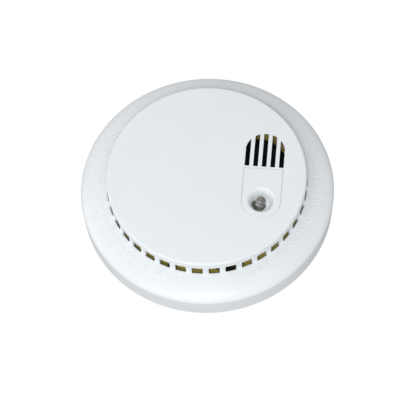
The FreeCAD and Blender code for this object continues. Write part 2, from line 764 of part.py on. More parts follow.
def lead(points, radius):
    """A lead of straight runs joined by tangent arcs, at the heights that its points give."""
    spots = [FreeCAD.Vector(*[as_size(c).number for c in point]) for point in points]
    edges = []
    start = spots[0]
    for before, corner, after in zip(spots, spots[1:], spots[2:]):
        toward, away = (before - corner).normalize(), (after - corner).normalize()
        shorter = min((before - corner).Length, (after - corner).Length)
        trim = 0.45 * shorter
        first, last = corner + toward * trim, corner + away * trim
        bend = trim * math.tan(toward.getAngle(away) / 2)
        middle = (toward + away).normalize()
        centre = corner + middle * math.hypot(trim, bend)
        edges.append(Part.LineSegment(start, first).toShape())
        edges.append(Part.Arc(first, centre - middle * bend, last).toShape())
        start = last
    edges.append(Part.LineSegment(start, spots[-1]).toShape())
    path = Part.Wire(edges)
    section = Part.Wire(Part.Circle(spots[0], spots[1] - spots[0], radius.number).toShape())
    tube = path.makePipeShell([section], True, False)
    print("lead", round(tube.Volume / (math.pi * radius.number**2 * path.Length), 4))
    return tube


def make_leads():
    """Red and black leads from the snap connector through the bay's notch to their pads on the board."""
    out = bay_right + S.bay_wall
    end_x = battery_x + S.battery_w / 2 - 1
    up = bay_high - 3
    for label, front, land, across in [
        ("battery_lead_red", battery_z + 1.6, up - 3, out + 6),
        ("battery_lead_black", battery_z - 1.6, up + 1.5, out + 4.5),
    ]:
        points = [(end_x, up, front), (across, up, front), (across, land, board_front + 4), (across, land, board_front)]
        made = doc.addObject("Part::Feature", label)
        made.Shape = lead(points, S.wire_r)
        stand(label, made)


# ---- circuit board --------------------------------------------------------------------------------------


def make_board():
    body = new_body("circuit_board")
    sketch = draw_circle(new_sketch(body, "XY_Plane", S.board_z), 0, 0, board_r)
    pad(body, sketch, S.board_t)
    room = S.bay_wall + S.board_gap
    sketch = new_sketch(body, "XY_Plane", board_front + CUT)
    draw_box(sketch, S.bay_left - room, bay_right + room, S.bay_low - room, board_r + CUT)
    pocket(body, sketch, S.board_t + CUT * 2)
    for across, up in board_screws:
        sketch = draw_circle(new_sketch(body, "XY_Plane", board_front + CUT), across, up, S.screw_r)
        pocket(body, sketch, S.board_t + CUT * 2)
    return body


# ---- horn -----------------------------------------------------------------------------------------------


def make_horn():
    body = new_body("horn_housing", S.horn_x, S.horn_y, board_front)
    r, w, step, cap, top = S.horn_r, S.horn_wall, S.horn_step, S.horn_cap_r, S.horn_rise
    spin(
        body,
        "Revolution",
        [
            (r - w, 0),
            (r, 0),
            (r, step),
            (cap, step),
            (cap, top),
            (S.throat_r, top),
            (S.throat_r, top - w),
            (cap - w, top - w),
            (cap - w, step - w),
            (r - w, step - w),
        ],
    )
    shelf = r - w + LINING
    low, high = S.piezo_lift - 1, step - w + LINING
    spin(body, "Revolution", [(S.piezo_r, low), (shelf, low), (shelf, high), (S.piezo_r, high)])
    sketch = new_sketch(body, "XY_Plane", low)
    draw_circle(sketch, 0, 0, S.piezo_r + LINING)
    draw_circle(sketch, 0, 0, S.piezo_r - 1)
    pad(body, sketch, 1)
    lift = board_front + S.piezo_lift
    disc = rod(S.horn_x, S.horn_y, lift, lift + 0.25, S.piezo_r)
    stand("sounder_disc", group(disc))
    ceramic = rod(S.horn_x, S.horn_y, lift + 0.25, lift + 0.5, S.piezo_r * 0.72)
    stand("sounder_ceramic", group(ceramic))
    pins = [rod(S.horn_x + dx, S.horn_y + dy, board_front, lift, Size(0.6)) for dx, dy in [(-9, 0), (4, -8), (0, 5)]]
    stand("sounder_contacts", group(*pins))


# ---- smoke chamber --------------------------------------------------------------------------------------


def make_chamber():
    base = new_body("chamber_base", S.chamber_x, S.chamber_y, board_front)
    floor, r = S.chamber_floor, S.chamber_r
    spin(base, "Revolution", [(0, 0), (r, 0), (r, floor), (0, floor)])
    cap = new_body("chamber_cap", S.chamber_x, S.chamber_y, board_front + S.chamber_rise - floor)
    spin(cap, "Revolution", [(0, 0), (r, 0), (r, floor), (0, floor)])
    vanes = new_body("light_trap", S.chamber_x, S.chamber_y, board_front + floor)
    ring_low = Size(0.8)
    inner = r - S.vane_len - 0.8
    spin(vanes, "Revolution", ring(inner, r - 0.5, 0, ring_low))
    sketch = new_sketch(vanes, "XY_Plane", 0)
    draw_vane(sketch, r - 0.8)
    made = pad(vanes, sketch, S.chamber_rise - floor * 2)
    polar(vanes, made, S.vane_count)
    screen = new_body("insect_screen", S.chamber_x, S.chamber_y, board_front + floor)
    spin(screen, "Revolution", ring(r - S.screen_t, r, 0, S.chamber_rise - floor * 2))


def draw_vane(sketch, outer):
    """A straight vane that starts at the outer radius and leans out of it by vane_turn."""
    dx, dy = cosine(S.vane_turn), sine(S.vane_turn)
    half, length = S.vane_t / 2, S.vane_len
    x, y = outer - half, Size(0)
    draw_outline(
        sketch,
        [
            (x - dy * half, y + dx * half),
            (x - dy * half - dx * length, y + dx * half - dy * length),
            (x + dy * half - dx * length, y - dx * half - dy * length),
            (x + dy * half, y - dx * half),
        ],
    )


def make_optics():
    """The infrared lamp and its receiver, lying in the chamber and aimed across each other."""
    lift = board_front + S.chamber_floor + 3.2
    for label, angle in (("infrared_lamp", 20), ("infrared_receiver", 160)):
        barrel = rod(0, 0, -2.2, 1.0, Size(1.5))
        dome = doc.addObject("Part::Sphere", "dome")
        bind(dome, Radius=1.5, Placement__Base__z=1)
        lying = placed(joined(barrel, dome), axis=ALONG_X, angle=-90)
        aimed = placed(placed(lying, across=3.9), axis=(0, 0, 1), angle=angle)
        stand(label, group(placed(aimed, S.chamber_x, S.chamber_y, lift)))


# ---- status lamp ----------------------------------------------------------------------------------------


def make_lamp():
    foot = S.face_z - S.lamp_drop
    flange = rod(0, 0, 0, 1.0, S.lamp_flange_r)
    case = rod(0, 0, 0, S.lamp_len, S.lamp_r)
    dome = doc.addObject("Part::Sphere", "dome")
    bind(dome, Radius=S.lamp_r, Placement__Base__z=S.lamp_len)
    axis = (-math.sin(math.radians(S.lamp_lean_way.number)), math.cos(math.radians(S.lamp_lean_way.number)), 0)
    lens = placed(joined(flange, case, dome), S.lamp_x, S.lamp_y, foot, axis, S.lamp_lean)
    stand("status_lamp", group(lens))
    slope = sine(S.lamp_lean) / cosine(S.lamp_lean)
    tilt = slope * cosine(S.lamp_lean_way)
    legs = []
    for side in (-1.27, 1.27):
        x, w = S.lamp_x + side, S.lead_w / 2
        top = foot - tilt * side - slope * w * 1.5
        legs.append(block(x - w, x + w, S.lamp_y - w, S.lamp_y + w, board_front, top))
    stand("status_lamp_leads", group(*legs))


# ---- test contact ---------------------------------------------------------------------------------------


def make_test_contact():
    x, y, z = S.post_x, S.leaf_back, leaf_z + S.leaf_t / 2
    half, pin_r = S.leaf_w / 2, Size(0.5)
    cheek = half + 0.25
    sides = [block(x + cheek * k - 0.45, x + cheek * k + 0.45, y - 1, y + 1, board_front, z + 1) for k in (-1.3, 1.3)]
    pin = placed(rod(0, 0, 0, cheek * 2.6, pin_r), x - cheek * 1.3, y, z, ALONG_X, 90)
    foot = block(x - cheek * 1.3, x + cheek * 1.3, y - 1, y + 1, board_front, board_front + 0.8)
    stand("test_contact_holder", joined(*sides, pin, foot))
    eye = placed(rod(0, 0, 0, half * 2, Size(1.0)), x - half, y, z, ALONG_X, 90)
    strip = block(x - half, x + half, S.leaf_tip, y - 0.3, leaf_z, leaf_z + S.leaf_t)
    bore = placed(rod(0, 0, -CUT, half * 2 + CUT, pin_r + S.pin_fit), x - half, y, z, ALONG_X, 90)
    stand("test_contact_leaf", cut(joined(eye, strip), bore))
    stand("test_contact_pad", group(rod(x, S.leaf_tip + 1.2, board_front, board_front + 1.8, Size(1.2))))


# ---- other components on the board ----------------------------------------------------------------------


def chip(across, up, legs, angle):
    """A dual in-line chip with legs down both long sides."""
    pitch, width, rise = 2.54, 6.4, 3.4
    length = legs / 2 * pitch
    case = block(-length / 2, length / 2, -width / 2, width / 2, 0.5, 0.5 + rise)
    rows = []
    for k in range(legs // 2):
        x = (k + 0.5) * pitch - length / 2
        for side in (-1, 1):
            y = side * width / 2 + (0.25 if side > 0 else -0.75)
            rows.append(block(x - 0.25, x + 0.25, y, y + 0.5, 0, 2.2))
            rows.append(block(x - 0.25, x + 0.25, side * width / 2 - 0.75, side * width / 2 + 0.75, 1.7, 2.2))
    return placed(joined(case, *rows), across, up, board_front, angle=angle)


def capacitor(across, up, radius, length):
    return rod(across, up, board_front, board_front + length, Size(radius))


def resistor(across, up, angle):
    """A small axial resistor lying on the board with its leads bent down."""
    bead = placed(rod(0, 0, -3.2, 3.2, Size(1.15)), front=1.3, axis=ALONG_X, angle=90)
    wire = placed(rod(0, 0, -4.7, 4.7, Size(0.3)), front=1.3, axis=ALONG_X, angle=90)
    legs = [rod(x, 0, 0, 1.75, Size(0.4)) for x in (-4.7, 4.7)]
    return placed(joined(bead, wire, *legs), across, up, board_front, angle=angle)


def make_components():
    stand("control_chip", group(chip(-14.2, -34.8, 14, -20)))
    stand("driver_chip", group(chip(-38.8, 6.5, 8, 90)))
    stand("electrolytic_capacitors", group(capacitor(-30.5, -28.5, 4.0, 9.0), capacitor(9.0, 37.5, 5.0, 10.5)))
    spots = [(24.5, 35.0), (38.8, -20.0), (-36.5, -19.5)]
    plates = [placed(rod(0, 0, -0.9, 0.9, Size(2.8)), x, y, board_front + 3.0, ALONG_X, 90) for x, y in spots]
    stand("ceramic_capacitors", group(*plates))
    spots = [(8.5, -13.0, 62), (40.0, -11.0, 75), (35.0, 27.5, -50), (-41.8, -5.8, 98), (-36.0, 22.0, 58)]
    stand("resistors", group(*[resistor(*spot) for spot in spots]))
    core = [rod(-13.2, -45.3, board_front, board_front + 3.0, Size(2.3))]
    stand("horn_coil", group(*core))


def make_screws():
    ring_x = [boss_ring * cosine(angle) for angle in (-90, 30, 150)]
    ring_y = [boss_ring * sine(angle) for angle in (-90, 30, 150)]
    length = boss_top - LINING * 5 - cover_screw_seat
    stand("cover_screws", group(*[screw(x, y, cover_screw_seat, length, 1) for x, y in zip(ring_x, ring_y)]))
    stand("board_screws", group(*[screw(x, y, board_front, 4.5, -1) for x, y in board_screws]))


def make_label():
    """The blank rating label on the back."""
    thin = Size(0.15)
    label = block(Size(3.0), Size(39.0), Size(-13.0), Size(13.0), S.plate_z - thin, S.plate_z)
    stand("rating_label", group(label))


# ---- build, check and write -----------------------------------------------------------------------------


def check(thing):
    faults = [state for state in thing.State if state in ("Invalid", "Error")]
    if faults:
        raise RuntimeError(f"{thing.Name} ({thing.Label}) is {faults}")


def write_pieces():
    os.makedirs("parts", exist_ok=True)
    for piece in pieces:
        shape = piece.Shape
        if shape.isNull() or not shape.isValid() or not shape.Solids:
            raise RuntimeError(f"{piece.Label} has no valid solid")
        shape.exportStep(f"parts/{piece.Label}.step")
        print(f"{piece.Label:26s} {len(shape.Solids):3d} {shape.Volume:10.1f} mm3")


make_bracket()
make_cover()
make_button()
make_housing()
make_door()
make_door_fittings()
make_battery()
make_leads()
make_board()
make_horn()
make_chamber()
make_optics()
make_lamp()
make_test_contact()
make_components()
make_screws()
make_label()
doc.recompute()
for thing in doc.Objects:
    check(thing)
write_pieces()
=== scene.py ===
import contextlib
import math

import bmesh
import bpy
from mathutils import Matrix, Vector


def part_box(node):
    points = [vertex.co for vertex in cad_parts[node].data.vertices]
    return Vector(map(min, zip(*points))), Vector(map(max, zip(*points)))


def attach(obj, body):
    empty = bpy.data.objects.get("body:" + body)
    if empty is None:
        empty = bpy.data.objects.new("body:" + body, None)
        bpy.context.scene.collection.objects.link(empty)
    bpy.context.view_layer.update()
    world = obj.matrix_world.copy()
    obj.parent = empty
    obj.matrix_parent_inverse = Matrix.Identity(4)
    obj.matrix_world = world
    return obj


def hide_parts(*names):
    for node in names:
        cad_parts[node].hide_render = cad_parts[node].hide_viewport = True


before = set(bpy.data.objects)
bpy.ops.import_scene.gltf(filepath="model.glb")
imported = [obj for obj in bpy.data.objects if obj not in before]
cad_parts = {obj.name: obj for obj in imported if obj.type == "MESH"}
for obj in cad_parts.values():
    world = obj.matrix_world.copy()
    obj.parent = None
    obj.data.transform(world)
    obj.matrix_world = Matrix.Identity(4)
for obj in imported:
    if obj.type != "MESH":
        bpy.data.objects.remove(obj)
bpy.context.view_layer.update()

bl_info = {
    "name": "Smoke alarm",
    "version": (1, 0, 0),
    "blender": (4, 5, 0),
    "location": "View3D > Sidebar > Smoke alarm",
    "description": "Builds a round battery smoke alarm on its wall bracket, one piece at a time",
    "category": "Add Mesh",
}

# Everything is modelled in millimetres on the wall: x to the right, y up the wall and z out of it.
# WALL stands the finished mesh up in metres, where the frame has its nodes.
WALL = Matrix(((0.001, 0, 0, 0), (0, 0, -0.001, 0), (0, 0.001, 0, 0), (0, 0, 0, 1)))
OUT = Vector((0, 0, 1))
MM = 1000.0  # millimetres in the metre that Object coordinates use
TOUCH = 1e-4  # corners closer than this are the same corner

# The cover: its rim, the sloping ring, the raised disc and what is cut in them.
RIM_R, RIM_BACK, BAND_TOP = 63.5, 1.0, 12.75
LEDGE_R, LEDGE_Z = 50.4, 18.5
BEND_R, BEND_Z = 57.0, 16.72
DISC_R, FACE_Z, FACE_ROUND, WALL_T = 49.5, 27.4, 1.1, 2.0
WINDOWS, WINDOW_WIDE, WINDOW_LOW, WINDOW_HIGH = 38, 5.3, 19.0, 23.1
SLOT_X, SLOT_PITCH, SLOT_WIDE, SLOT_LOW = 28.0, 4.25, 2.3, 5.8
ARCH_R, ARCH_Y = 9.75, 14.75
TONGUE_X, TONGUE_R, TONGUE_TOP, TONGUE_LOW, GAP = 27.9, 9.35, 4.3, -12.6, 0.45
WELL_R, WELL_BACK, WELL_FALL, DISH, LAMP_HOLE_R = 5.6, 17.8, 5.2, 1.35, 3.4
SIDE_T, GRILLE_T, POCKET_ROOM = 1.0, 0.7, 1.2
PAST = 2.0  # how far a cutter reaches past what it cuts

# The test button, the horn and the status lamp.
HINGE_Y, HINGE_Z, PIN_R = 2.9, 24.0, 0.9
POST_X, POST_Y, POST_R = 35.3, -14.0, 1.1
HORN_X, HORN_Y, HORN_TOP, THROAT_R = 25.0, 11.4, 22.0, 4.2
LAMP_X, LAMP_Y, LAMP_Z, LAMP_LEAN, LAMP_TOWARD = 26.6, -13.0, 19.4, 14.0, 31.0


# ---- modelling ------------------------------------------------------------------------------------------


def begin():
    """Leaves edit mode and lets go of everything."""
    if bpy.context.object and bpy.context.object.mode != "OBJECT":
        bpy.ops.object.mode_set(mode="OBJECT")
    bpy.ops.object.select_all(action="DESELECT")


def only(thing):
    """Makes one object the selected and active one."""
    begin()
    thing.select_set(True)
    bpy.context.view_layer.objects.active = thing
    return thing


def start(kind, **values):
    """Adds a primitive and puts its size and place into its mesh."""
    begin()
    getattr(bpy.ops.mesh, f"primitive_{kind}_add")(**values)
    bpy.ops.object.transform_apply(location=True, rotation=True, scale=True)
    return bpy.context.object


@contextlib.contextmanager
def editing(thing, kind="FACE"):
    """Edit mode on one object, with nothing selected."""
    only(thing)
    bpy.ops.object.mode_set(mode="EDIT")
    bpy.ops.mesh.select_mode(type=kind)
    bpy.ops.mesh.select_all(action="DESELECT")
    yield thing
    bpy.ops.object.mode_set(mode="OBJECT")


def pick(thing, kind, test):
    """In edit mode, selects the verts or faces whose middle and normal pass a test."""
    bpy.ops.mesh.select_all(action="DESELECT")
    shape = bmesh.from_edit_mesh(thing.data)
    for part in getattr(shape, kind):
        middle = part.co if kind == "verts" else part.calc_center_median()
        part.select_set(bool(test(middle, part.normal)))
    shape.select_flush_mode()
    bmesh.update_edit_mesh(thing.data)


def sweep_up():
    """In edit mode, merges the doubles and turns the faces outwards."""
    bpy.ops.mesh.select_all(action="SELECT")
    bpy.ops.mesh.remove_doubles(threshold=0.001)
    bpy.ops.mesh.normals_make_consistent(inside=False)


def extrude(move, size=None, middle=None):
    """In edit mode, extrudes the selection by a move, and then sizes it about a middle."""
    bpy.ops.mesh.extrude_region_move(TRANSFORM_OT_translate={"value": tuple(move)})
    if size is not None:
        bpy.ops.transform.resize(value=size, center_override=middle)


def chain(points, closed=True):
    """A run of edges, drawn by extruding one corner after another."""
    thing = start("plane", size=1)
    with editing(thing, "VERT"):
        bpy.ops.mesh.select_all(action="SELECT")
        bpy.ops.mesh.merge(type="CENTER")
        bpy.ops.transform.translate(value=points[0])
        for here, there in zip(points, points[1:]):
            extrude(Vector(there) - Vector(here))
        if closed:
            ends = Vector(points[0]), Vector(points[-1])
            pick(thing, "verts", lambda at, _: min((at - end).length for end in ends) < TOUCH)
            bpy.ops.mesh.edge_face_add()
    return thing


def lathe(points, about=(0.0, 0.0), steps=96, closed=True):
    """A turned piece: corners given as radius and height, spun about an axis that stands on the wall."""
    thing = chain([(about[0] + r, about[1], z) for r, z in points], closed)
    with editing(thing, "VERT"):
        bpy.ops.mesh.select_all(action="SELECT")
        bpy.ops.mesh.spin(steps=steps, angle=math.tau, center=(*about, 0), axis=OUT)
        sweep_up()
    return thing


def prism(points, low, high):
    """A straight-sided block: an outline on the wall, filled and raised."""
    thing = chain([(x, y, low) for x, y in points])
    with editing(thing, "VERT"):
        bpy.ops.mesh.select_all(action="SELECT")
        bpy.ops.mesh.edge_face_add()
        extrude((0, 0, high - low))
        sweep_up()
    return thing


def box(low, high):
    middle = [(a + b) / 2 for a, b in zip(low, high)]
    return start("cube", size=1, location=middle, scale=[b - a for a, b in zip(low, high)])


def rod(x, y, low, high, radius, steps=32):
    middle = (x, y, (low + high) / 2)
    return start("cylinder", vertices=steps, radius=radius, depth=high - low, location=middle)


def arc(x, y, radius, first, last, steps):
    turns = [math.radians(first + (last - first) * k / steps) for k in range(steps + 1)]
    return [(x + radius * math.cos(turn), y + radius * math.sin(turn)) for turn in turns]


def curve(first, pull, last, steps):
    """Points on a smooth bend from first to last, drawn towards pull."""
    made = []
    for k in range(steps + 1):
        t = k / steps
        near, middle, far = (1 - t) ** 2, 2 * t * (1 - t), t * t
        made.append(tuple(near * a + middle * b + far * c for a, b, c in zip(first, pull, last)))
    return made


def copies_round(count):
    """In edit mode, copies everything round the alarm's axis until there are so many."""
    bpy.ops.mesh.select_all(action="SELECT")
    turn = math.tau / count * (count - 1)
    bpy.ops.mesh.spin(steps=count - 1, angle=turn, center=(0, 0, 0), axis=OUT, dupli=True)


def sliced(at, towards):
    """In edit mode, cuts everything away that lies past a plane, and closes the cut."""
    bpy.ops.mesh.select_all(action="SELECT")
    bpy.ops.mesh.bisect(plane_co=at, plane_no=towards, use_fill=True, clear_outer=True)


def with_modifier(thing, kind, **settings):
    """Adds a modifier, sets it and applies it."""
    only(thing)
    modifier = thing.modifiers.new(kind.lower(), kind)
    for key, value in settings.items():
        setattr(modifier, key, value)
    bpy.ops.object.modifier_apply(modifier=modifier.name)
    return thing


def combine(thing, *tools, how="DIFFERENCE"):
    """Cuts, joins or keeps what two shapes share, and throws the tools away."""
    for tool in tools:
        with_modifier(thing, "BOOLEAN", operation=how, solver="EXACT", object=tool)
        bpy.data.objects.remove(tool)
    return thing


def merged(*things):
    """Several shapes as one object."""
    begin()
    for thing in things:
        thing.select_set(True)
    bpy.context.view_layer.objects.active = things[0]
    bpy.ops.object.join()
    return things[0]


def twin(thing):
    """A copy with its own mesh."""
    only(thing)
    bpy.ops.object.duplicate()
    return bpy.context.object


def turned(thing, degrees, axis="Z", about=(0, 0, 0)):
    """Turns a mesh about a line through a point."""
    about = Vector(about)
    turn = Matrix.Rotation(math.radians(degrees), 4, axis)
    thing.data.transform(Matrix.Translation(about) @ turn @ Matrix.Translation(-about))
    return thing


def moved(thing, x=0.0, y=0.0, z=0.0):
    thing.data.transform(Matrix.Translation((x, y, z)))
    return thing


def soften(thing, width=0.0, steps=2, angle=34):
    """Rounds the sharp edges a little and shades the rest smooth."""
    if width:
        with_modifier(
            thing, "BEVEL", width=width, segments=steps, limit_method="ANGLE",
            angle_limit=math.radians(angle), use_clamp_overlap=False, miter_outer="MITER_ARC",
        )
    only(thing)
    bpy.ops.object.shade_smooth_by_angle(angle=math.radians(angle))
    return with_modifier(thing, "WEIGHTED_NORMAL", mode="FACE_AREA", keep_sharp=True)


def refined(node, width, steps=2, angle=34):
    """A copy of a frame node, its triangles merged into faces and its sharp edges rounded."""
    begin()
    thing = bpy.data.objects.new(node + "_copy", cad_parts[node].data.copy())
    bpy.context.scene.collection.objects.link(thing)
    thing.data.transform(WALL.inverted())
    with editing(thing, "VERT"):
        bpy.ops.mesh.select_all(action="SELECT")
        bpy.ops.mesh.customdata_custom_splitnormals_clear()
        bpy.ops.mesh.remove_doubles(threshold=0.001)
        bpy.ops.mesh.dissolve_limited(angle_limit=math.radians(0.6))
    return soften(thing, width, steps, angle)


def settle(thing, name, body, finish, stands_for=()):
    """Stands a finished shape up on the wall, gives it its finish and lets it ride on its body."""
    thing.name = thing.data.name = name
    thing.data.transform(WALL)
    thing.data.materials.clear()
    thing.data.materials.append(finish)
    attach(thing, body)
    if stands_for:
        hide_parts(*stands_for)
    return thing


# ---- finishes -------------------------------------------------------------------------------------------


class Value:
    """A shader socket that adds, takes away, multiplies and divides like a number."""

    def __init__(self, finish, socket):
        self.finish, self.socket = finish, socket

    def maths(self, operation, *values):
        sockets = dict(enumerate(values))
        return self.finish.node("ShaderNodeMath", {"operation": operation}, sockets)

    def __add__(self, other):
        return self.maths("ADD", self, other)

    def __sub__(self, other):
        return self.maths("SUBTRACT", self, other)

    def __rsub__(self, other):
        return self.maths("SUBTRACT", other, self)

    def __mul__(self, other):
        return self.maths("MULTIPLY", self, other)

    def __truediv__(self, other):
        return self.maths("DIVIDE", self, other)

    __radd__, __rmul__ = __add__, __mul__

    def over(self, limit):
        return self.maths("GREATER_THAN", self, limit)

    def under(self, limit):
        return self.maths("LESS_THAN", self, limit)

    def ramp(self, low, high, first=0.0, last=1.0):
        """The value carried from low..high to first..last, and held at both ends."""
        return self.finish.node("ShaderNodeMapRange", {}, {0: self, 1: low, 2: high, 3: first, 4: last})


class Finish:
    """One procedural material on Object coordinates."""

    def __init__(self, name, rough, metal=0.0, **fixed):
        self.material = bpy.data.materials.new(name)
        self.material.use_nodes = True
        self.tree = self.material.node_tree
        self.shader = self.tree.nodes["Principled BSDF"]
        self.shader.inputs["Roughness"].default_value = rough
        self.shader.inputs["Metallic"].default_value = metal
        for key, value in fixed.items():
            self.shader.inputs[key.replace("_", " ")].default_value = value
        self.place = self.node("ShaderNodeTexCoord", {}, {}, "Object")

    def node(self, kind, settings, sockets, out=0):
        """Makes a node, sets it, fills its sockets with values or links and gives one of its outputs."""
        node = self.tree.nodes.new(kind)
        for key, value in settings.items():
            setattr(node, key, value)
        for key, value in sockets.items():
            if isinstance(value, Value):
                self.tree.links.new(value.socket, node.inputs[key])
            else:
                node.inputs[key].default_value = value
        return Value(self, node.outputs[out])

    def noise(self, size, detail=3.0, rough=0.5, stretch=None):
        """Cloudy variation whose grains are about one size across, in millimetres."""
        place = self.place
        if stretch:
            place = self.node("ShaderNodeMapping", {}, {"Vector": place, "Scale": stretch})
        sockets = {"Vector": place, "Scale": MM / size, "Detail": detail, "Roughness": rough}
        return self.node("ShaderNodeTexNoise", {}, sockets)

    def cells(self, size, distance="EUCLIDEAN", out=0):
        """Cells about one size across, in millimetres."""
        sockets = {"Vector": self.place, "Scale": MM / size}
        return self.node("ShaderNodeTexVoronoi", {"distance": distance}, sockets, out)

    def axis(self, letter):
        """One Object coordinate, in millimetres."""
        return self.node("ShaderNodeSeparateXYZ", {}, {0: self.place}, letter) * MM

    def mix(self, amount, first, second):
        """A blend from the first colour to the second."""
        full = [(*c, 1.0) if isinstance(c, tuple) and len(c) == 3 else c for c in (first, second)]
        return self.node("ShaderNodeMix", {"data_type": "RGBA"}, {0: amount, 6: full[0], 7: full[1]}, 2)

    def wear(self, **sockets):
        """Links what varies over the surface to the shader."""
        for key, value in sockets.items():
            self.tree.links.new(value.socket, self.shader.inputs[key.replace("_", " ")])
        return self

    def bump(self, height, depth):
        """A relief whose height 1 stands depth millimetres proud."""
        sockets = {"Strength": 1.0, "Distance": depth / MM, "Height": height}
        return self.wear(Normal=self.node("ShaderNodeBump", {}, sockets))


def shade(colour, factor):
    return tuple(min(1.0, c * factor) for c in colour)


def moulded(name, colour, rough=0.38, grain=0.35, relief=0.012, spread=0.025, shine=0.5):
    """Injection-moulded plastic: faint clouding, a fine spark-eroded grain and uneven gloss."""
    finish = Finish(name, rough, IOR=1.49, Specular_IOR_Level=shine)
    cloud, fine = finish.noise(28.0, 2.0), finish.noise(grain, 2.0)
    tone = finish.mix(cloud, shade(colour, 1 - spread), shade(colour, 1 + spread))
    finish.wear(Base_Color=tone, Roughness=cloud * 0.08 + fine * 0.06 + (rough - 0.07))
    return finish.bump(fine, relief).material


def sheet_metal(name, colour, rough=0.28):
    """Rolled or plated metal with drawn lines and a little tarnish."""
    finish = Finish(name, rough, metal=1.0)
    lines, blotch = finish.noise(3.0, 3.0, 0.6, (1.0, 1.0, 12.0)), finish.noise(2.2, 3.0)
    finish.wear(
        Base_Color=finish.mix(blotch.ramp(0.35, 0.75), colour, shade(colour, 0.75)),
        Roughness=lines * 0.2 + blotch * 0.12 + (rough - 0.14),
    )
    return finish.bump(lines, 0.01).material


def foam_finish(name, colour):
    """Open-cell foam: dark pores in a matt skin."""
    finish = Finish(name, 0.95)
    pores = finish.cells(0.7)
    finish.wear(Base_Color=finish.mix(pores, shade(colour, 0.5), shade(colour, 1.6)))
    return finish.bump(pores, 0.25).material


def rubber_wire(name, colour):
    """Wire insulation with light scuffs."""
    finish = Finish(name, 0.42)
    scuff = finish.noise(1.2, 4.0)
    tone = finish.mix(scuff, shade(colour, 0.75), shade(colour, 1.2))
    finish.wear(Base_Color=tone, Roughness=scuff * 0.25 + 0.3)
    return finish.bump(scuff, 0.02).material


def laminate(name, colour):
    """Bare paper laminate: amber with fibres and printed tracks that show through."""
    finish = Finish(name, 0.45)
    fibre = finish.noise(1.4, 5.0, 0.65, (1.0, 1.0, 4.0))
    tracks = finish.cells(4.5, distance="MANHATTAN", out="Distance").ramp(0.30, 0.36)
    warm = finish.mix(fibre, shade(colour, 0.72), shade(colour, 1.25))
    tone = finish.mix(tracks * 0.4, warm, shade(colour, 0.55))
    finish.wear(Base_Color=tone, Roughness=fibre * 0.25 + 0.32)
    return finish.bump(tracks, 0.03).material


def jacket(name, colour, band):
    """Plain battery jacket: a dark body, a warm band near the contacts, thin edge lines and light scuffs."""
    finish = Finish(name, 0.3)
    up = finish.axis("Z")
    scuff = finish.noise(5.0, 6.0, 0.7)
    top = up.over(12.0)
    line = up.over(11.2) * up.under(12.0)
    body = finish.mix(scuff, shade(colour, 0.8), shade(colour, 1.3))
    tone = finish.mix(top, body, finish.mix(scuff, shade(band, 0.85), shade(band, 1.1)))
    tone = finish.mix(line, tone, (0.75, 0.75, 0.72))
    finish.wear(Base_Color=tone, Roughness=scuff * 0.3 + 0.16, Metallic=top * 0.6)
    return finish.bump(scuff, 0.01).material


def resin(name, colour, rough=0.5):
    """Cast or dipped resin: blotched, with a fine grain in its gloss."""
    finish = Finish(name, rough)
    fine, blotch = finish.noise(0.15, 2.0), finish.noise(2.5, 3.0)
    tone = finish.mix(blotch, shade(colour, 0.7), shade(colour, 1.5))
    finish.wear(Base_Color=tone, Roughness=fine * 0.2 + (rough - 0.1))
    return finish.bump(fine, 0.015).material


def clear_resin(name, colour, rough=0.03):
    """Water-clear cast resin with a faint haze."""
    finish = Finish(name, rough, Transmission_Weight=0.9, IOR=1.53)
    haze = finish.noise(1.5, 3.0)
    tone = finish.mix(haze, colour, shade(colour, 0.96))
    finish.wear(Base_Color=tone, Roughness=haze * 0.03 + rough * 0.5)
    return finish.material


def film(name, colour):
    """Satin label film with a thin printed border and plain grey bars."""
    finish = Finish(name, 0.35, metal=0.0)
    left, right, half_high, line, pitch = 3.4, 38.6, 12.6, 0.4, 3.2
    x, z = finish.axis("X"), finish.axis("Z")
    haze = finish.noise(9.0, 3.0)
    across = finish.node("ShaderNodeMath", {"operation": "FRACT"}, {0: z / pitch})
    row = finish.node("ShaderNodeMath", {"operation": "FLOOR"}, {0: z / pitch})
    length = finish.node("ShaderNodeTexWhiteNoise", {"noise_dimensions": "1D"}, {"W": row})
    bars = across.under(0.34) * x.over(6.0) * (x - length * 14.0).under(20.0)
    bars = bars * z.under(10.5) * z.over(-10.5)
    inside = x.over(left + line) * x.under(right - line)
    inside = inside * z.over(line - half_high) * z.under(half_high - line)
    framed = x.over(left) * x.under(right) * z.over(-half_high) * z.under(half_high)
    ink = (bars + (1 - inside) * framed) * 0.75
    tone = finish.mix(haze, shade(colour, 0.96), shade(colour, 1.04))
    tone = finish.mix(ink, tone, (0.12, 0.13, 0.14))
    finish.wear(Base_Color=tone, Roughness=haze * 0.15 + 0.28)
    return finish.bump(haze, 0.01).material


def woven_wire(name, colour):
    """Fine woven screen: crossing wires with open squares between them."""
    finish = Finish(name, 0.35, metal=1.0)
    pitch = 0.5

    def wires(letter):
        run = finish.axis(letter) * (math.tau / pitch)
        return finish.node("ShaderNodeMath", {"operation": "SINE"}, {0: run})

    up, out, along = wires("Z"), wires("Y"), wires("X")
    mesh = (up * 0.5 + 0.5).maths("MAXIMUM", out * 0.5 + 0.5, along * 0.25 + 0.25)
    finish.wear(Base_Color=finish.mix(mesh, shade(colour, 0.12), colour))
    return finish.bump(mesh, 0.08).material


